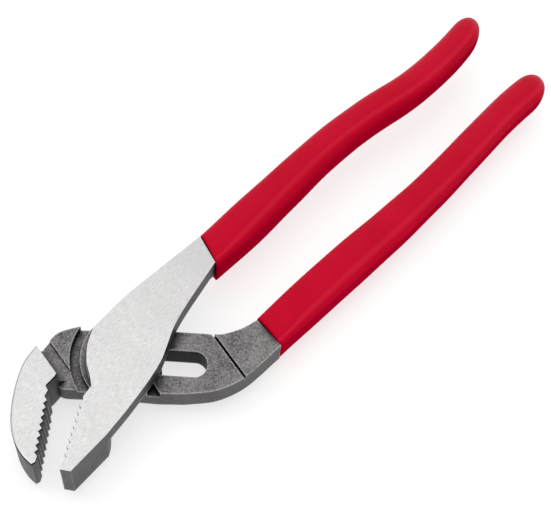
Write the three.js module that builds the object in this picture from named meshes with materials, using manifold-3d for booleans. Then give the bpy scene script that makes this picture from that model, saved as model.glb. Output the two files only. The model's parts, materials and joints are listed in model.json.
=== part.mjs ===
// Tongue and groove pliers, lying flat on their back: 256 mm over the tongue half, 272 mm over the groove
// half. Millimetres, +Z out of the front face, +X away from the hook jaw, +Y towards the handles. Heights
// below count from the back of the jaws, and places in plan from a point on the slot's centre line. The
// finished group is moved so that its origin is on the front face, over the pivot axis at rest.
import * as THREE from 'three';
import { mergeVertices } from 'three/addons/utils/BufferGeometryUtils.js';
import Module from 'manifold-3d';

const wasm = await Module();
wasm.setup();

// ---- driving dimensions ----
const jawThickness = 12.7;
const plateBack = 1.0; // the slotted plate stops short of the jaws' back
const plateFront = 7.3; // tops of the ribs between the grooves
const channelFloor = 6.5; // relief beside the hook jaw
const neckFront = 7.8; // as-forged neck beyond the slotted plate
const slidingPlateBack = 8.0; // underside of the tongue half's plate
const boltRadius = 4.8;
const blindHoleTop = 11.6;

const slotTilt = THREE.MathUtils.degToRad(-3.8);
const slotHalfWidth = 5.4;
const firstSetting = -9.8; // the bolt's place along the slot with the jaws closest
const pitch = 7.35; // from one groove to the next
const settings = 5;
const settingAtRest = 1; // counted from the setting with the jaws closest
const tongueRadius = 21; // every groove is an arc of this radius about its own bolt position
const tongueWidth = 3.7;
const grooveWidth = 4.3;
const grooveDepth = 2.0;
const tongueHalfAngle = THREE.MathUtils.degToRad(20);
const grooveHalfAngle = THREE.MathUtils.degToRad(52);
const runningGap = 0.3; // also how far the tongue stays above the ribs, so that the slide is free

const toothDepth = 1.3;
const teeth = 8;
const shoulderReach = 4.6; // how far the fillet beside the hook jaw runs out over the channel

const gripWall = 1.2;
const gripGap = 0.3; // left between a grip's bore and the steel inside it

const steel = { ground: 0xdedcdb, forged: 0x7d7a7a, zinc: 0xa9abad };
const vinylRed = 0xb8062c;

// ---- solids ----
const round = (value) => Math.round(value * 1e5) / 1e5;

function solidOf(geometry) {
  const bare = geometry.clone();
  for (const name of ['normal', 'uv']) bare.deleteAttribute(name);
  const merged = mergeVertices(bare, 1e-4);
  return new wasm.Manifold(new wasm.Mesh({
    numProp: 3,
    vertProperties: Float32Array.from(merged.attributes.position.array, round),
    triVerts: Uint32Array.from(merged.index.array),
  }));
}

function geometryOf(solid) {
  const { vertProperties, triVerts } = solid.getMesh();
  const geometry = new THREE.BufferGeometry();
  geometry.setAttribute('position', new THREE.BufferAttribute(vertProperties, 3));
  geometry.setIndex(new THREE.BufferAttribute(triVerts, 1));
  return geometry;
}

function slab(shape, low, high, curveSegments = 8) {
  const geometry = new THREE.ExtrudeGeometry(shape, {
    depth: high - low, bevelEnabled: false, curveSegments,
  });
  return solidOf(geometry.translate(0, 0, low));
}

function disc(radius, low, high, segments = 48) {
  const geometry = new THREE.CylinderGeometry(radius, radius, high - low, segments);
  return solidOf(geometry.rotateX(Math.PI / 2).translate(0, 0, (low + high) / 2));
}

// ---- outlines ----
// An outline is a list of runs; each run is { line: points } or { curve: points }, joined end to end.
function shapeOf(runs) {
  const shape = new THREE.Shape();
  const [first] = Object.values(runs[0])[0];
  shape.moveTo(...first);
  for (const { line, curve } of runs) {
    if (line) for (const point of line) shape.lineTo(...point);
    if (curve) {
      const vectors = curve.map((point) => new THREE.Vector2(...point));
      shape.lineTo(...curve[0]);
      shape.splineThru(vectors.slice(1));
    }
  }
  shape.closePath();
  return shape;
}

// Points of a row of teeth from the first notch to the last, the tips standing to the given side.
function toothRow(from, to, side) {
  const start = new THREE.Vector2(...from);
  const step = new THREE.Vector2(...to).sub(start).divideScalar(teeth);
  const out = new THREE.Vector2(-step.y, step.x).normalize().multiplyScalar(side * toothDepth);
  const points = [from];
  for (let i = 0; i < teeth; i += 1) {
    const tip = start.clone().addScaledVector(step, i + 0.5).add(out);
    const notch = start.clone().addScaledVector(step, i + 1);
    points.push(tip.toArray(), notch.toArray());
  }
  return points;
}

function ringSector(inner, outer, middle, halfAngle) {
  const shape = new THREE.Shape();
  shape.absarc(0, 0, outer, middle - halfAngle, middle + halfAngle, false);
  shape.absarc(0, 0, inner, middle + halfAngle, middle - halfAngle, true);
  shape.closePath();
  return shape;
}

// ---- handles ----
// A handle runs along a curve; a station is [half width, lowest z, highest z, squareness, lean] at even
// steps. Lean draws in the top of the side that faces right along the curve, which leaves a soft ridge.
function sectionPoint(station, angle) {
  const [halfWidth, low, high, squareness, lean] = station;
  const power = 2 / squareness;
  const [c, s] = [Math.cos(angle), Math.sin(angle)];
  const drawnIn = c < 0 ? 1 - lean * Math.max(s, 0) : 1;
  const across = drawnIn * halfWidth * Math.sign(c) * Math.abs(c) ** power;
  const up = (low + high) / 2 + ((high - low) / 2) * Math.sign(s) * Math.abs(s) ** power;
  return [across, up];
}

function stationAt(stations, t) {
  const place = t * (stations.length - 1);
  const i = Math.min(Math.floor(place), stations.length - 2);
  const blend = THREE.MathUtils.smoothstep(place - i, 0, 1);
  return stations[i].map((value, k) => THREE.MathUtils.lerp(value, stations[i + 1][k], blend));
}

// Insets a section, and rounds it down to nothing over the last stretch of the handle.
function tipped(station, inset, distanceToTip) {
  const [halfWidth, low, high, squareness, lean] = station;
  const x = THREE.MathUtils.clamp(distanceToTip / tipLength, 0, 1);
  const size = Math.sqrt(1 - (1 - x) ** 2);
  const middle = (low + high) / 2;
  const halfHeight = ((high - low) / 2 - inset) * size;
  return [(halfWidth - inset) * size, middle - halfHeight, middle + halfHeight, squareness, lean];
}

const ringPoints = 28;
const handleSteps = 40;
const crowding = 1.6; // above 1, rings stand closer together towards the tip
const skewStretch = 1 / 6; // share of the grip over which its slanted mouth squares up
const tipLength = 9; // stretch over which a handle rounds off
const lead = 8; // length of each handle's curve that lies ahead of its grip

// A closed solid along the handle's curve. start is measured from the end of the grip nearest the jaws.
function handleSolid(handle, { inset, start }) {
  const path = new THREE.CatmullRomCurve3(handle.path.map(([x, y]) => new THREE.Vector3(x, y, 0)));
  const length = path.getLength();
  const gripFrom = lead / length;
  const end = 1 - inset / length;
  const from = (lead + start) / length;
  const station = (t) => stationAt(handle.stations, Math.max((t - gripFrom) / (1 - gripFrom), 0));
  const positions = [];
  for (let i = 0; i < handleSteps; i += 1) {
    const t = from + (end - from) * (1 - (1 - i / handleSteps) ** crowding);
    const section = tipped(station(t), inset, (end - t) * length);
    const centre = path.getPointAt(t);
    const along = path.getTangentAt(t);
    const skew = handle.skew * THREE.MathUtils.clamp(1 - (t - gripFrom) / skewStretch, 0, 1);
    for (let k = 0; k < ringPoints; k += 1) {
      const [across, up] = sectionPoint(section, ((k + 0.5) / ringPoints) * 2 * Math.PI);
      const forward = skew * across;
      positions.push(
        centre.x + along.x * forward - along.y * across,
        centre.y + along.y * forward + along.x * across,
        up,
      );
    }
  }
  const capAt = (t) => {
    const [, low, high] = station(t);
    return positions.push(...path.getPointAt(t).setZ((low + high) / 2).toArray()) / 3 - 1;
  };
  const rear = capAt(from);
  const tip = capAt(end);
  const faces = [];
  const lastRing = (handleSteps - 1) * ringPoints;
  for (let k = 0; k < ringPoints; k += 1) {
    const next = (k + 1) % ringPoints;
    faces.push(rear, next, k, tip, lastRing + k, lastRing + next);
    for (let ring = 0; ring < lastRing; ring += ringPoints) {
      faces.push(ring + k, ring + next, ring + ringPoints + next);
      faces.push(ring + k, ring + ringPoints + next, ring + ringPoints + k);
    }
  }
  const geometry = new THREE.BufferGeometry();
  geometry.setAttribute('position', new THREE.Float32BufferAttribute(positions, 3));
  geometry.setIndex(faces);
  return solidOf(geometry);
}

const upperHandle = {
  skew: 0.22,
  path: [[19.6, 36.9], [25.7, 42.2], [42.8, 57.6], [58.6, 72.6], [74.4, 87.3], [91.1, 100.2], [109.4, 112.1],
    [125.4, 126.3], [136.8, 139.8]],
  stations: [
    [7.3, 3.6, 13.7, 4.2, 0.05],
    [7.7, 3.4, 13.8, 3.8, 0.32],
    [7.15, 3.4, 13.8, 3.4, 0.36],
    [6.65, 3.5, 13.7, 2.9, 0.25],
    [6.35, 3.6, 13.6, 2.6, 0.1],
    [6.15, 3.7, 13.5, 2.5, 0],
    [6.2, 3.8, 13.4, 2.4, 0],
    [5.95, 3.9, 13.3, 2.3, 0],
  ],
};

const lowerHandle = {
  skew: 0.05,
  path: [[45.3, 6.4], [50.9, 12.0], [69.3, 29.0], [86.8, 44.6], [104.1, 59.7], [120.9, 75.6], [136.7, 92.1],
    [151.9, 107.7], [166.1, 119.7]],
  stations: [
    [7.9, 0.0, 9.2, 4.2, 0.05],
    [8.3, -0.1, 9.4, 3.8, 0.26],
    [8.3, -0.1, 9.5, 3.4, 0.3],
    [7.9, 0.0, 9.5, 2.9, 0.22],
    [7.3, 0.1, 9.4, 2.6, 0.1],
    [7.0, 0.2, 9.3, 2.5, 0],
    [6.7, 0.2, 9.2, 2.4, 0],
    [6.5, 0.3, 9.1, 2.3, 0],
  ],
};

const gripOf = (handle) => handleSolid(handle, { inset: 0, start: 0 })
  .subtract(handleSolid(handle, { inset: gripWall, start: -2 }));

const tangOf = (handle) => handleSolid(handle, { inset: gripWall + gripGap, start: -3 });

// ---- tongue half: bright front plate, straight jaw, upper handle ----
const plateLeftEdge = [[-22.2, 9.7], [-24.7, 2.6], [-25.0, -4.6], [-23.7, -10.4], [-23.1, -14.4]];
const tongueTeeth = toothRow([-26.5, -20.9], [-33.5, -43.8], -1);
const jawTip = [[-34.9, -45.2], [-36.2, -49.0], [-31.7, -49.8]];
const jawHeel = [-17.1, -34.9]; // where the jaw's full thickness ends on its outer side

const tongueFace = shapeOf([
  { curve: plateLeftEdge },
  { line: [[-26.5, -18.8], ...tongueTeeth, ...jawTip] },
  { line: [jawHeel, [-8.8, -24.9]] },
  { curve: [[-8.8, -24.9], [-0.6, -14.0], [5.2, -5.0], [8.0, 1.7], [11.1, 10.1],
    [16.5, 19.5], [28.1, 36.7]] },
  { line: [[21.8, 47.3]] },
  { curve: [[21.8, 47.3], [8.8, 36.9], [-7.2, 24.2], [-16.7, 15.2], [-22.2, 9.7]] },
]);

// The jaw is full thickness below a step that clears the other half's lower edge.
const tongueJaw = shapeOf([
  { line: [[-25.4, -18.8], [-26.5, -18.8], ...tongueTeeth, ...jawTip, jawHeel] },
  { curve: [jawHeel, [-16.2, -31.2], [-16.0, -26.0]] },
  { line: [[-16.0, -17.3]] },
]);

// A point on the slot's centre line.
const alongSlot = (travel) => [travel * Math.cos(slotTilt), travel * Math.sin(slotTilt)];

// Where the bolt stands at each setting, from the closest jaws to the widest.
const boltPlaces = Array.from({ length: settings }, (_, i) => alongSlot(firstSetting + i * pitch));
const pivot = [...boltPlaces[settingAtRest], 0];

const tongue = ringSector(
  tongueRadius - tongueWidth / 2, tongueRadius + tongueWidth / 2,
  Math.PI + slotTilt, tongueHalfAngle,
);

// Wedge that thickens the underside of the plate down to the tang. It stops just ahead of the grip.
function handleRoot() {
  const [[startX, startY], [gripX, gripY]] = upperHandle.path;
  const width = 9.6;
  const top = jawThickness - 0.2;
  const thickEndBottom = 5.5;
  const [rear, thinEnd, thickEnd] = [-14, -12, -1.5];
  const side = new THREE.Shape();
  side.moveTo(rear, slidingPlateBack + 1);
  side.lineTo(thinEnd, slidingPlateBack);
  side.lineTo(thickEnd, thickEndBottom);
  side.lineTo(thickEnd, top);
  side.lineTo(rear, top);
  side.closePath();
  const geometry = new THREE.ExtrudeGeometry(side, { depth: width, bevelEnabled: false });
  geometry.translate(0, 0, -width / 2);
  geometry.rotateX(Math.PI / 2);
  geometry.rotateZ(Math.atan2(gripY - startY, gripX - startX));
  geometry.translate(gripX, gripY, 0);
  return solidOf(geometry);
}

const tongueHalf = slab(tongueFace, slidingPlateBack, jawThickness)
  .add(slab(tongueJaw, 0, slidingPlateBack + 1))
  .add(slab(tongue, plateFront + runningGap, slidingPlateBack + 1, 24).translate(pivot))
  .add(tangOf(upperHandle))
  .add(handleRoot())
  .subtract(disc(boltRadius + runningGap, slidingPlateBack - 1, blindHoleTop).translate(pivot));

// ---- groove half: hook jaw, slotted plate with the grooves, lower handle ----
const hookTop = [-46.0, 2.5];
const hookBack = [[-48.2, -46.8], [-51.6, -43.4], [-54.7, -38.3], [-56.3, -32.7], [-56.7, -26.3],
  [-55.7, -17.9], [-53.8, -10.5], [-50.9, -3.7], hookTop];
const grooveTeeth = toothRow([-42.5, -18.7], [-46.8, -41.9], 1);
const gullet = [[-38.0, -10.0], [-40.2, -12.4], [-41.9, -14.2], [-41.1, -16.2]];
const hookTip = [[-45.6, -43.4], [-46.4, -45.9]];
const shoulder = [hookTop, [-37.7, -9.2]];

const hookFace = shapeOf([
  { curve: gullet },
  { line: [...grooveTeeth, ...hookTip] },
  { curve: hookBack },
  { line: shoulder },
]);

const grooveBody = shapeOf([
  { curve: gullet },
  { line: [...grooveTeeth, ...hookTip] },
  { curve: hookBack },
  { curve: [hookTop, [-41.9, 7.9], [-37.0, 12.2], [-28.4, 14.6]] },
  { line: [[-20, 14.4], [12.7, 12.2]] },
  { curve: [[12.7, 12.2], [25.2, 11.4], [29.2, 10.8], [33.4, 11.4], [39.9, 13.6], [45.7, 16.9]] },
  { line: [[55.8, 6.2]] },
  { curve: [[55.8, 6.2], [52.6, 3.4], [47.2, -1.6], [41.0, -6.6], [34.3, -10.2], [26.8, -12.6],
    [15.1, -13.7]] },
  { line: [[4.0, -13.5]] },
  { curve: [[4.0, -13.5], [-11.0, -12.2], [-27.0, -11.5], [-35.2, -11.1], [-38.0, -10.0]] },
]);

const neckStep = [[26.8, 11.8], [41.0, -7.2]];
const neckPatch = new THREE.Shape([...neckStep, [62, 0], [62, 24], [34, 20]]
  .map((point) => new THREE.Vector2(...point)));

// Narrow cut along the foot of the neck's step.
function stepRelief() {
  const [from, to] = neckStep.map((point) => new THREE.Vector2(...point));
  const run = to.clone().sub(from);
  const middle = from.clone().lerp(to, 0.5);
  const [width, depth, height, overrun] = [0.9, 0.8, 4, 6];
  const geometry = new THREE.BoxGeometry(run.length() + overrun, width, height);
  geometry.rotateZ(run.angle());
  geometry.translate(middle.x, middle.y, plateFront - depth + height / 2);
  return solidOf(geometry);
}

// Concave fillet that runs down the side of the hook jaw to the channel.
function shoulderFillet() {
  const [top, bottom] = shoulder.map((point) => new THREE.Vector2(...point));
  const run = bottom.clone().sub(top);
  const overrun = 0.4; // past both ends, so that the outline trims it
  const start = top.clone().addScaledVector(run, -overrun / run.length());
  const crest = jawThickness - 1;
  const buried = 2; // how far it runs on into the jaw and the plate
  const profile = new THREE.Shape();
  profile.moveTo(-buried, channelFloor - buried);
  profile.lineTo(shoulderReach, channelFloor - buried);
  profile.lineTo(shoulderReach, channelFloor);
  profile.quadraticCurveTo(0.8, channelFloor + 0.4, 0, crest);
  profile.lineTo(-buried, crest);
  profile.closePath();
  const geometry = new THREE.ExtrudeGeometry(profile, {
    depth: run.length() + 2 * overrun, bevelEnabled: false, curveSegments: 10,
  });
  geometry.rotateX(Math.PI / 2);
  geometry.rotateZ(run.angle() + Math.PI / 2);
  geometry.translate(start.x, start.y, 0);
  return solidOf(geometry);
}

function slot() {
  const [first, last] = [boltPlaces[0], boltPlaces[settings - 1]];
  const shape = new THREE.Shape();
  shape.absarc(...last, slotHalfWidth, slotTilt - Math.PI / 2, slotTilt + Math.PI / 2, false);
  shape.absarc(...first, slotHalfWidth, slotTilt + Math.PI / 2, slotTilt + 1.5 * Math.PI, false);
  shape.closePath();
  return slab(shape, plateBack - 1, plateFront + 1, 20);
}

function groove([x, y]) {
  const arc = ringSector(
    tongueRadius - grooveWidth / 2, tongueRadius + grooveWidth / 2,
    Math.PI + slotTilt, grooveHalfAngle,
  );
  return slab(arc, plateFront - grooveDepth, plateFront + 1, 24).translate([x, y, 0]);
}

const channelOutline = [[-48.8, 1.6], [-41.6, 9.0], [-33.4, -2.4], [-30.6, -6.5], [-30.2, -15], [-42, -15]];
const channel = new THREE.Shape(channelOutline.map((point) => new THREE.Vector2(...point)));

function grooveHalfSolid() {
  let plate = slab(grooveBody, plateBack, plateFront);
  for (const place of boltPlaces) plate = plate.subtract(groove(place));
  plate = plate.subtract(slab(channel, channelFloor, plateFront + 1));
  const neck = slab(grooveBody, plateBack, neckFront).intersect(slab(neckPatch, 0, jawThickness));
  const fillet = shoulderFillet().intersect(slab(grooveBody, plateBack, jawThickness));
  return plate
    .add(neck)
    .add(fillet)
    .subtract(stepRelief())
    .subtract(slot())
    .add(slab(hookFace, 0, jawThickness))
    .add(tangOf(lowerHandle));
}

// ---- pivot ----
const washerRadius = 8.2;
const washerPlay = 0.1; // left free on each face of the washer
const nutAcrossFlats = 15;
const nutThickness = 3.6;
const nutChamfer = { faceRadius: 7.4, fullRadius: 8.8, height: 0.8 };
const boltPastNut = 0.8;
const boltPointRadius = 3.4;
const boltPointHeight = 0.9;
const boltChamfer = 0.6;

function pivotBolt() {
  const end = -nutThickness - boltPastNut;
  const top = blindHoleTop - runningGap;
  const profile = [[0, end], [boltPointRadius, end], [boltRadius, end + boltPointHeight],
    [boltRadius, top - boltChamfer], [boltRadius - boltChamfer, top], [0, top]]
    .map((point) => new THREE.Vector2(...point));
  return new THREE.LatheGeometry(profile, 48).rotateX(Math.PI / 2).translate(...pivot);
}

function pivotWasher() {
  const bore = disc(boltRadius + runningGap, -1, 2);
  return geometryOf(disc(washerRadius, washerPlay, plateBack - washerPlay).subtract(bore).translate(pivot));
}

function pivotNut() {
  const corner = nutAcrossFlats / Math.sqrt(3);
  const half = nutThickness / 2;
  const hexagon = solidOf(new THREE.CylinderGeometry(corner, corner, nutThickness, 6).rotateX(Math.PI / 2));
  // A turned blank whose chamfer takes the corners off the nut's outer face.
  const { faceRadius, fullRadius, height } = nutChamfer;
  const blank = [[0, -half], [faceRadius, -half], [fullRadius, height - half], [fullRadius, half], [0, half]]
    .map((point) => new THREE.Vector2(...point));
  const crown = solidOf(new THREE.LatheGeometry(blank, 48).rotateX(Math.PI / 2));
  const middle = -half;
  const bore = disc(boltRadius + runningGap, -10, 4);
  return geometryOf(hexagon.intersect(crown).translate([0, 0, middle]).subtract(bore).translate(pivot));
}

// ---- assembly ----
function finish(color, roughness, metalness) {
  return new THREE.MeshStandardMaterial({ color, roughness, metalness });
}

const pliers = new THREE.Group();
pliers.position.set(-pivot[0], -pivot[1], -jawThickness);

function addPart(name, geometry, material) {
  const mesh = new THREE.Mesh(geometry, material);
  mesh.name = name;
  pliers.add(mesh);
}

addPart('tongue_half', geometryOf(tongueHalf), finish(steel.ground, 0.38, 1));
addPart('groove_half', geometryOf(grooveHalfSolid()), finish(steel.forged, 0.6, 0.9));
addPart('pivot_bolt', pivotBolt(), finish(steel.zinc, 0.4, 1));
addPart('pivot_washer', pivotWasher(), finish(steel.zinc, 0.4, 1));
addPart('pivot_nut', pivotNut(), finish(steel.zinc, 0.4, 1));
addPart('tongue_half_grip', geometryOf(gripOf(upperHandle)), finish(vinylRed, 0.5, 0));
addPart('groove_half_grip', geometryOf(gripOf(lowerHandle)), finish(vinylRed, 0.5, 0));

export default pliers;
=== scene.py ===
"""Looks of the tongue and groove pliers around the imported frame. Metres, in the frame of the CAD."""

import json
import math

import bmesh
import bpy
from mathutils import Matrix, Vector

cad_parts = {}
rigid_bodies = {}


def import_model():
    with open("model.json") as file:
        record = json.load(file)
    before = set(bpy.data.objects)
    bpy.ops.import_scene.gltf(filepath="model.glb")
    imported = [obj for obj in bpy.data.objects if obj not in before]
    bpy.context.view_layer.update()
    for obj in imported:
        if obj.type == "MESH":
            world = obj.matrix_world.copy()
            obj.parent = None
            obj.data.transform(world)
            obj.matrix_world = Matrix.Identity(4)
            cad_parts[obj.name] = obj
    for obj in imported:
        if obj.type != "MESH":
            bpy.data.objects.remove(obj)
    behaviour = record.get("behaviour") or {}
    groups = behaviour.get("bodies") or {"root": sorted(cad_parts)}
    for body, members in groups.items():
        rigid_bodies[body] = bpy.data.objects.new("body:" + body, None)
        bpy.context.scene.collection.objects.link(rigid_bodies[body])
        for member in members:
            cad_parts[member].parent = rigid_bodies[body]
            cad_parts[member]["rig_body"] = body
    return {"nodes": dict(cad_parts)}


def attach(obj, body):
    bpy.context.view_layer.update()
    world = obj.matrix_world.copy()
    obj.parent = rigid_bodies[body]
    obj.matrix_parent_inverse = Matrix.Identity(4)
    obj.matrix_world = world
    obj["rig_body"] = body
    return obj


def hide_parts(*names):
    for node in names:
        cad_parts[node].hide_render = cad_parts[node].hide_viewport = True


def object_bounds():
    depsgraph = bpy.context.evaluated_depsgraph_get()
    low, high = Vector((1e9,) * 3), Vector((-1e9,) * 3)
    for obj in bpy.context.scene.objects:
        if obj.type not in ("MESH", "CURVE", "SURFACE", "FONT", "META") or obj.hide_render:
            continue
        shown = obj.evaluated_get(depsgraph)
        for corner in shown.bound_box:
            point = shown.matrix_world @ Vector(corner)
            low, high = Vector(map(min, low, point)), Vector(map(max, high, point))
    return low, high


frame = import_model()
cad_low, cad_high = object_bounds()

MM = 0.001

# the mesh taken from the CAD
WELD = 0.002 * MM  # points this close are one
FLAT_TURN = math.radians(0.6)  # faces that turn by less than this are one flat face
PAIR_TURN = math.radians(50)  # triangles that turn by less than this may form a quad

# the shape of the steel
GROUND_LEVEL = 0.0  # both jaws' ground faces lie in the plane of the frame's origin
HOOK_RIM = 0.85 * MM  # forged rim left outside the hook's ground face
FORGING_EDGE = 0.35 * MM  # width of the bevels on the two halves
FASTENER_EDGE = 0.15 * MM  # and on the bolt, washer and nut
SHARP_TURN = math.radians(32)  # edges that turn by more than this are bevelled

# the slot, from the pivot at rest
PITCH = 7.35 * MM  # from one setting to the next
SLOT_TILT = math.radians(-3.8)
SLOT_HALF_WIDTH = 5.4 * MM
SLOT_MIDDLE = PITCH
SLOT_HALF_LENGTH = 2 * PITCH + SLOT_HALF_WIDTH

# the grips
TOWARDS_JAWS = Vector((-0.707, -0.707, 0))
MOUTH_REACH = 6 * MM  # faces turned to the jaws this near the foremost one belong to the mouth
MOUTH_TUCK = 0.2 * MM  # how far a grip's mouth is drawn in towards the steel
MOUTH_LAP = 0.3 * MM  # how far it is drawn forward over the steel
MOUTH_CREASE = 0.7

# the camera and the light
VIEWPOINT = Vector((0.0222, -0.2933, 0.363))
SENSOR = 36.0
LENS = 57.4
LENS_SHIFT = {"shift_x": 0.146, "shift_y": 1.4578}  # in widths of the sensor
SHIFT_REACH = 20 * MM  # the shift ends this far from the viewpoint
KEY_PLACE = Vector((-0.75, 0.15, 0.85))
KEY_SIZE = 0.45
KEY_POWER = 1.6
FLOOR_HALF_SIDE = 40.0

# grain and painted rim shade of the two halves
TONGUE_GRAIN = math.radians(40)
GROOVE_GRAIN = math.radians(50)
GRAIN_STRETCH = 9
RIM_SHADE = 0.9

# colours of the forged skin, between dark and pale grains, on its top and, darker as painted shade, on
# its sides
TOP_DARK = (0.062, 0.06, 0.063, 1)
TOP_PALE = (0.32, 0.308, 0.305, 1)
SHADED_SIDE_DARK = (0.085, 0.083, 0.087, 1)
SHADED_SIDE_PALE = (0.155, 0.151, 0.153, 1)
HOLLOW_SHADE = (0.012, 0.012, 0.013, 1)
DEEP_SHADE = (0.01, 0.01, 0.011, 1)
RUBBED = (0.52, 0.51, 0.505, 1)

# colours of the ground faces: the grain, its clouds, and the painted shade near the grip
GRAIN_DARK = (0.57, 0.563, 0.56, 1)
GRAIN_PALE = (0.80, 0.792, 0.79, 1)
CLOUD = (0.52, 0.515, 0.51, 1)
NEAR_GRIP_SHADE = (0.47, 0.462, 0.46, 1)

# colours of the zinc plating
ZINC_DARK = (0.36, 0.37, 0.39, 1)
ZINC_PALE = (0.55, 0.56, 0.58, 1)

# colours of the vinyl, with painted shade for its sides and a painted highlight for its ridge
RED_DARK = (0.45, 0.0, 0.015, 1)
RED_PALE = (0.51, 0.001, 0.021, 1)
RED_SIDE_SHADE = (0.37, 0.0, 0.018, 1)
RED_RIDGE_HIGHLIGHT = (0.6, 0.02, 0.055, 1)
RED_SHEEN = (1.0, 0.22, 0.3, 1)

# colours of the stage
FLOOR_DARK = (0.34, 0.34, 0.34, 1)
FLOOR_PALE = (0.36, 0.36, 0.36, 1)
WHITE = (1, 1, 1, 1)


# ---- node helpers ----
def material_of(name):
    material = bpy.data.materials.new(name)
    material.use_nodes = True
    return material, material.node_tree, material.node_tree.nodes["Principled BSDF"].inputs


def feed(tree, socket, value):
    """Sets an input to a value, or links it where the value is another node's output."""
    if isinstance(value, bpy.types.NodeSocket):
        tree.links.new(value, socket)
    else:
        socket.default_value = value


def node(tree, kind, inputs=None, **settings):
    made = tree.nodes.new(kind)
    for key, value in settings.items():
        setattr(made, key, value)
    for key, value in (inputs or {}).items():
        feed(tree, made.inputs[key], value)
    return made


def calculate(tree, operation, first, second=0.0):
    return node(tree, "ShaderNodeMath", {0: first, 1: second}, operation=operation).outputs[0]


def product(tree, first, *others):
    for other in others:
        first = calculate(tree, "MULTIPLY", first, other)
    return first


def rescale(tree, value, low_in, high_in, low_out=0.0, high_out=1.0):
    """Maps one range to another, held at the ends of the second."""
    made = node(tree, "ShaderNodeMapRange", {
        "Value": value, "From Min": low_in, "From Max": high_in, "To Min": low_out, "To Max": high_out,
    })
    return made.outputs["Result"]


def blend_value(tree, factor, first, second):
    return node(tree, "ShaderNodeMix", {0: factor, 2: first, 3: second}, data_type="FLOAT").outputs[0]


def blend_colour(tree, factor, first, second):
    return node(tree, "ShaderNodeMix", {0: factor, 6: first, 7: second}, data_type="RGBA").outputs[2]


def coordinates(tree):
    """Coordinates that stay with the piece when its body moves."""
    return tree.nodes.new("ShaderNodeTexCoord").outputs


def parts(tree, vector):
    return node(tree, "ShaderNodeSeparateXYZ", {0: vector}).outputs


def noise(tree, vector, size, detail=4.0, roughness=0.6):
    """Noise whose largest features are about `size` metres across."""
    made = node(tree, "ShaderNodeTexNoise", {
        "Vector": vector, "Scale": 1 / size, "Detail": detail, "Roughness": roughness,
    })
    return made.outputs["Fac"]


def stretched(tree, vector, angle, along):
    """Coordinates turned to a grain direction, with features drawn out along it."""
    turned = node(tree, "ShaderNodeMapping", {"Vector": vector, "Rotation": (0, 0, -angle)})
    made = node(tree, "ShaderNodeMapping", {"Vector": turned.outputs[0], "Scale": (1 / along, 1, 1)})
    return made.outputs[0]


def openness(tree, distance, inside=False):
    """1 on open surfaces and less in hollows, or if inside, 1 on broad faces and less along edges."""
    made = node(tree, "ShaderNodeAmbientOcclusion", {"Distance": distance}, samples=8, inside=inside)
    return made.outputs["AO"]


def bump(tree, height, depth):
    made = node(tree, "ShaderNodeBump", {"Height": height, "Distance": depth, "Strength": 1.0})
    return made.outputs["Normal"]


# ---- steel ----
def edge_wear(tree, height):
    """Rises to 1 along outward edges below the ground faces, where handling rubs a forging bright."""
    worn = rescale(tree, openness(tree, 0.7 * MM, inside=True), 0.9, 0.6)
    return product(tree, worn, rescale(tree, height, -2 * MM, -3 * MM))


def within(tree, value, middle, reach):
    """1 where the value lies within reach of the middle, with a soft edge outside that."""
    away = calculate(tree, "ABSOLUTE", calculate(tree, "SUBTRACT", value, middle))
    return rescale(tree, away, reach + 0.5 * MM, reach + 0.1 * MM)


def slot_wall_shade(tree, x, y, sideways):
    """1 on the walls of the slot, which get a near-black painted shade."""
    cosine = math.cos(SLOT_TILT)
    sine = math.sin(SLOT_TILT)
    across = calculate(tree, "SUBTRACT", product(tree, y, cosine), product(tree, x, sine))
    along = calculate(tree, "ADD", product(tree, x, cosine), product(tree, y, sine))
    return product(tree, within(tree, across, 0.0, SLOT_HALF_WIDTH),
                   within(tree, along, SLOT_MIDDLE, SLOT_HALF_LENGTH), sideways)


def forged_colour(tree, spot, facing, speckle, rim_shade):
    """Speckled grey, with painted shade on the sides, in hollows, on the slot's walls and in a rim, and
    rubbed bright on edges.
    """
    x, y, height = parts(tree, spot)
    sideways = rescale(tree, calculate(tree, "ABSOLUTE", facing), 0.65, 0.3)
    mottle = noise(tree, spot, 9 * MM)
    mixed = calculate(tree, "ADD", product(tree, mottle, 0.25), product(tree, speckle, 0.75))
    mixed = rescale(tree, mixed, 0.4, 0.6)
    top = blend_colour(tree, mixed, TOP_DARK, TOP_PALE)
    # the sides get a darker copy of the skin's colours: painted shade
    side = blend_colour(tree, mixed, SHADED_SIDE_DARK, SHADED_SIDE_PALE)
    colour = blend_colour(tree, sideways, top, side)
    # painted shade in hollows, driven by ambient occlusion
    colour = blend_colour(tree, rescale(tree, openness(tree, 5 * MM), 0.4, 0.95), HOLLOW_SHADE, colour)
    # painted shade, near black, on the slot's walls and in the rim just below the ground face
    walls = product(tree, slot_wall_shade(tree, x, y, sideways), 0.85)
    rim = rescale(tree, height, GROUND_LEVEL - 1.2 * MM, GROUND_LEVEL - 0.9 * MM, 0, rim_shade)
    colour = blend_colour(tree, calculate(tree, "MAXIMUM", walls, rim), colour, DEEP_SHADE)
    patchy = rescale(tree, speckle, 0.35, 0.6, 0.25, 0.8)
    return blend_colour(tree, product(tree, edge_wear(tree, height), patchy), colour, RUBBED)


def ground_colour(tree, spot, grain):
    """Bright and finely lined, clouded in places, with painted shade a little darker towards the grip.
    """
    x, y, _ = parts(tree, spot)
    towards_grip = calculate(tree, "ADD", x, y)
    cloud = noise(tree, spot, 16 * MM, detail=3)
    colour = blend_colour(tree, rescale(tree, grain, 0.38, 0.62), GRAIN_DARK, GRAIN_PALE)
    colour = blend_colour(tree, rescale(tree, cloud, 0.3, 0.7, 0, 0.3), colour, CLOUD)
    # painted shade that grows towards the grip
    return blend_colour(tree, rescale(tree, towards_grip, 5 * MM, 65 * MM, 0, 0.3), colour, NEAR_GRIP_SHADE)


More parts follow.
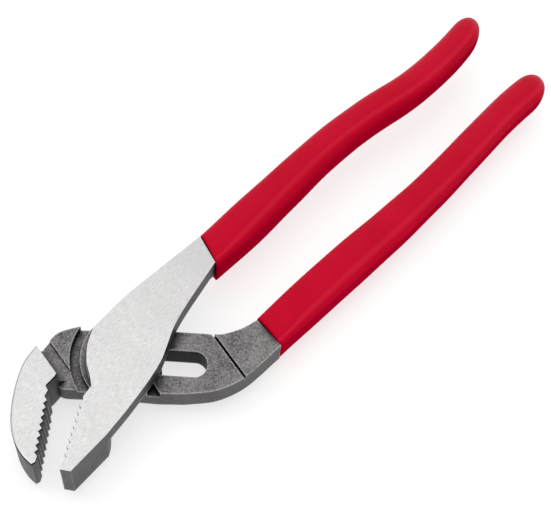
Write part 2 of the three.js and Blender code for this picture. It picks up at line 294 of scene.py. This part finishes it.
def steel(name, grain_angle, rim_shade):
    """Forged dark steel, with a bright ground face wherever the piece reaches the ground level.

    rim_shade is how dark the painted shade on the forged skin gets from that face to about 1 mm below
    it.
    """
    material, tree, surface = material_of(name)
    where = coordinates(tree)
    spot = where["Object"]
    height = parts(tree, spot)[2]
    facing = parts(tree, where["Normal"])[2]
    level = rescale(tree, height, GROUND_LEVEL - 0.5 * MM, GROUND_LEVEL - 0.3 * MM)
    ground = product(tree, level, rescale(tree, facing, 0.85, 0.95))
    speckle = noise(tree, spot, 0.65 * MM, detail=6, roughness=0.7)
    lined = stretched(tree, spot, grain_angle, GRAIN_STRETCH)
    grain = noise(tree, lined, 0.3 * MM, detail=5, roughness=0.65)

    forged = forged_colour(tree, spot, facing, speckle, rim_shade)
    bright = ground_colour(tree, spot, grain)
    rough_forged = rescale(tree, speckle, 0.3, 0.7, 0.42, 0.62)
    rough_ground = rescale(tree, grain, 0.3, 0.7, 0.28, 0.42)
    relief = blend_value(tree, ground, speckle, grain)
    depth = rescale(tree, ground, 0, 1, 0.14 * MM, 0.012 * MM)
    feed(tree, surface["Base Color"], blend_colour(tree, ground, forged, bright))
    feed(tree, surface["Roughness"], blend_value(tree, ground, rough_forged, rough_ground))
    feed(tree, surface["Normal"], bump(tree, relief, depth))
    feed(tree, surface["Metallic"], 0.9)
    return material


def plated_steel():
    """Zinc plating, hazy and finely pitted."""
    material, tree, surface = material_of("plated_steel")
    spot = coordinates(tree)["Object"]
    fine = noise(tree, spot, 0.5 * MM, detail=5)
    haze = noise(tree, spot, 4 * MM)
    colour = blend_colour(tree, rescale(tree, haze, 0.3, 0.7), ZINC_DARK, ZINC_PALE)
    feed(tree, surface["Base Color"], colour)
    feed(tree, surface["Roughness"], rescale(tree, fine, 0.3, 0.7, 0.28, 0.44))
    feed(tree, surface["Normal"], bump(tree, fine, 0.02 * MM))
    feed(tree, surface["Metallic"], 1.0)
    return material


# ---- vinyl and floor ----
def grip_ridge_highlight(tree, normal):
    """1 on the band where a grip's top starts to turn down towards +X and -Y, which gets a painted
    highlight.
    """
    x, y, up = parts(tree, normal)
    that_side = rescale(tree, calculate(tree, "SUBTRACT", x, y), 0.1, 0.3)
    return product(tree, rescale(tree, up, 0.8, 0.9), rescale(tree, up, 0.985, 0.94), that_side)


def grip_vinyl():
    """Dipped vinyl: saturated red, satin, with the fine orange-peel skin that a dipped coat dries to."""
    material, tree, surface = material_of("grip_vinyl")
    where = coordinates(tree)
    spot = where["Object"]
    flatness = calculate(tree, "ABSOLUTE", parts(tree, where["Normal"])[2])
    grain = noise(tree, spot, 0.55 * MM, detail=4)
    peel = noise(tree, spot, 2.4 * MM, detail=2)
    blotch = noise(tree, spot, 22 * MM, detail=3)

    colour = blend_colour(tree, rescale(tree, blotch, 0.3, 0.7), RED_DARK, RED_PALE)
    # painted shade: the grip's steep sides get a darker red
    colour = blend_colour(tree, rescale(tree, flatness, 0.1, 0.75), RED_SIDE_SHADE, colour)
    # painted highlight along the grip's ridge
    ridge = product(tree, grip_ridge_highlight(tree, where["Normal"]), 0.35)
    skin = calculate(tree, "ADD", product(tree, grain, 0.35), peel)
    feed(tree, surface["Base Color"], blend_colour(tree, ridge, colour, RED_RIDGE_HIGHLIGHT))
    feed(tree, surface["Roughness"], rescale(tree, grain, 0.3, 0.7, 0.36, 0.5))
    feed(tree, surface["Normal"], bump(tree, skin, 0.05 * MM))
    feed(tree, surface["Specular IOR Level"], rescale(tree, flatness, 0.3, 0.85, 0.0, 0.12))
    feed(tree, surface["Specular Tint"], RED_SHEEN)
    return material


def floor_paint():
    """Pale paint with a painted glow, though the floor is no lamp, so that shadows on it stay faint."""
    material, tree, surface = material_of("floor_paint")
    tone = noise(tree, coordinates(tree)["Object"], 0.3, detail=2)
    feed(tree, surface["Base Color"], blend_colour(tree, tone, FLOOR_DARK, FLOOR_PALE))
    # painted glow on the floor
    feed(tree, surface["Emission Color"], WHITE)
    feed(tree, surface["Emission Strength"], 0.66)
    feed(tree, surface["Roughness"], 0.8)
    return material


def paint(obj, material):
    obj.data.materials.clear()
    obj.data.materials.append(material)


def added(name, data):
    made = bpy.data.objects.new(name, data)
    bpy.context.scene.collection.objects.link(made)
    return made


# ---- pieces ----
def remade(name, tidy):
    """A new piece made from a CAD node's mesh, standing for that node and riding on its body."""
    source = frame["nodes"][name]
    work = bmesh.new()
    work.from_mesh(source.data)
    bmesh.ops.remove_doubles(work, verts=work.verts, dist=WELD)
    tidy(work)
    mesh = bpy.data.meshes.new(name + "_skin")
    work.to_mesh(mesh)
    work.free()
    piece = added(name + "_skin", mesh)
    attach(piece, source["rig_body"])
    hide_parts(name)
    return piece


def join_flat(work):
    """Turns the CAD's triangles back into flat faces and clean strips."""
    bmesh.ops.dissolve_limit(
        work, angle_limit=FLAT_TURN, verts=work.verts, edges=work.edges, delimit=set(),
    )


def join_quads(work):
    """Joins triangles in pairs wherever both have the edge between them as their longest."""
    def longest(face):
        return max(face.edges, key=lambda edge: edge.calc_length())

    diagonals = [
        edge for edge in work.edges
        if len(edge.link_faces) == 2
        and edge.calc_face_angle() < PAIR_TURN
        and all(len(face.verts) == 3 and longest(face) == edge for face in edge.link_faces)
    ]
    bmesh.ops.dissolve_edges(work, edges=diagonals, use_verts=False)


def rim_of_hook(work):
    """Takes the ground face back from the hook's outer edge, where the forged skin shows."""
    join_flat(work)
    rim = [
        edge for edge in work.edges
        if all(abs(vert.co.z - GROUND_LEVEL) < 0.05 * MM for vert in edge.verts)
        and any(face.normal.x < -0.1 and abs(face.normal.z) < 0.2 for face in edge.link_faces)
    ]
    bmesh.ops.bevel(
        work, geom=rim, offset=HOOK_RIM, segments=2, profile=0.5, affect="EDGES", clamp_overlap=True,
    )


def tuck_mouth(work):
    """Draws the sleeve's mouth in to just short of the steel, and keeps its rim crisp when smoothed."""
    crease = work.edges.layers.float.new("crease_edge")
    join_quads(work)
    work.normal_update()
    ahead = {
        face: face.calc_center_median().dot(TOWARDS_JAWS)
        for face in work.faces if face.normal.dot(TOWARDS_JAWS) > 0.8
    }
    foremost = max(ahead.values())
    mouth = {face for face, place in ahead.items() if place > foremost - MOUTH_REACH}
    verts = [vert for vert in work.verts if not mouth.isdisjoint(vert.link_faces)]
    centre = sum((vert.co for vert in verts), Vector()) / len(verts)
    for edge in {edge for face in mouth for edge in face.edges}:
        if not mouth.issuperset(edge.link_faces):
            edge[crease] = MOUTH_CREASE
    for vert in verts:
        inward = (centre - vert.co).normalized()
        if any(face.normal.dot(inward) > 0.3 for face in vert.link_faces if face not in mouth):
            vert.co += inward * MOUTH_TUCK
        vert.co += TOWARDS_JAWS * MOUTH_LAP


def metal_piece(name, material, bevel_width, tidy=join_flat):
    piece = remade(name, tidy)
    piece.data.shade_smooth()
    piece.data.set_sharp_from_angle(angle=SHARP_TURN)
    edge = piece.modifiers.new("edges", "BEVEL")
    edge.width = bevel_width
    edge.segments = 3
    edge.limit_method = "ANGLE"
    edge.angle_limit = SHARP_TURN
    edge.use_clamp_overlap = True
    edge.miter_outer = "MITER_ARC"
    weigh = piece.modifiers.new("shading", "WEIGHTED_NORMAL")
    weigh.keep_sharp = True
    paint(piece, material)


def grip_piece(name, material):
    piece = remade(name, tuck_mouth)
    piece.data.shade_smooth()
    smooth = piece.modifiers.new("smooth", "SUBSURF")
    smooth.levels = 2
    smooth.render_levels = 2
    paint(piece, material)


def build_pliers():
    plated = plated_steel()
    vinyl = grip_vinyl()
    ground = steel("ground_steel", TONGUE_GRAIN, 0.0)
    forged = steel("forged_steel", GROOVE_GRAIN, RIM_SHADE)
    metal_piece("tongue_half", ground, FORGING_EDGE)
    metal_piece("groove_half", forged, FORGING_EDGE, rim_of_hook)
    for name in ("pivot_bolt", "pivot_washer", "pivot_nut"):
        metal_piece(name, plated, FASTENER_EDGE)
    for name in ("tongue_half_grip", "groove_half_grip"):
        grip_piece(name, vinyl)


# ---- stage ----
def build_floor():
    work = bmesh.new()
    bmesh.ops.create_grid(work, x_segments=8, y_segments=8, size=FLOOR_HALF_SIDE)
    mesh = bpy.data.meshes.new("floor")
    work.to_mesh(mesh)
    work.free()
    floor = added("floor", mesh)
    floor.location.z = cad_low.z
    paint(floor, floor_paint())


def build_world():
    """A soft tent of light, brighter overhead than at the horizon."""
    horizon = 0.42
    overhead = 1.3
    backdrop = 0.97  # what the camera itself sees behind the floor
    world = bpy.data.worlds.new("studio")
    world.use_nodes = True
    tree = world.node_tree
    background = tree.nodes["Background"].inputs
    up = parts(tree, coordinates(tree)["Generated"])[2]
    seen = node(tree, "ShaderNodeLightPath").outputs["Is Camera Ray"]
    glow = rescale(tree, up, 0, 0.9, horizon, overhead)
    feed(tree, background["Strength"], blend_value(tree, seen, glow, backdrop))
    feed(tree, background["Color"], WHITE)
    bpy.context.scene.world = world
    bpy.context.scene.view_settings.view_transform = "Standard"


def build_key():
    """One lamp on the hook's side, aimed at the tool's middle, for the highlights on the edges."""
    lamp = bpy.data.lights.new("key", "AREA")
    lamp.shape = "SQUARE"
    lamp.size = KEY_SIZE
    lamp.energy = KEY_POWER
    key = added("key", lamp)
    key.location = KEY_PLACE
    aim = (cad_low + cad_high) / 2 - KEY_PLACE
    key.rotation_euler = aim.to_track_quat("-Z", "Y").to_euler()


# ---- camera ----
def shift_lens(camera, marker, name, amount):
    """Shifts the lens only while the camera stands at the marker, by a curve over the distance."""
    setattr(camera.data, name, amount)
    curve = camera.data.driver_add(name)
    curve.driver.type = "SUM"
    away = curve.driver.variables.new()
    away.name = "away"
    away.type = "LOC_DIFF"
    away.targets[0].id = camera
    away.targets[1].id = marker
    for modifier in list(curve.modifiers):
        curve.modifiers.remove(modifier)
    while curve.keyframe_points:
        curve.keyframe_points.remove(curve.keyframe_points[0])
    # two keys can't stand closer than 0.01 apart
    for distance, shift in ((0.0, amount), (SHIFT_REACH, 0.0)):
        curve.keyframe_points.insert(distance, shift).interpolation = "CONSTANT"


def build_camera():
    """Looks down from beyond the jaws, its picture plane parallel to the tool and its lens shifted."""
    data = bpy.data.cameras.new("camera")
    data.sensor_width = SENSOR
    data.lens = LENS
    data.clip_start = 0.01
    data.clip_end = 20
    camera = added("camera", data)
    marker = added("viewpoint", None)
    for item in (camera, marker):
        item.location = VIEWPOINT
    for name, amount in LENS_SHIFT.items():
        shift_lens(camera, marker, name, amount)
    bpy.context.scene.camera = camera


build_pliers()
build_floor()
build_world()
build_key()
build_camera()
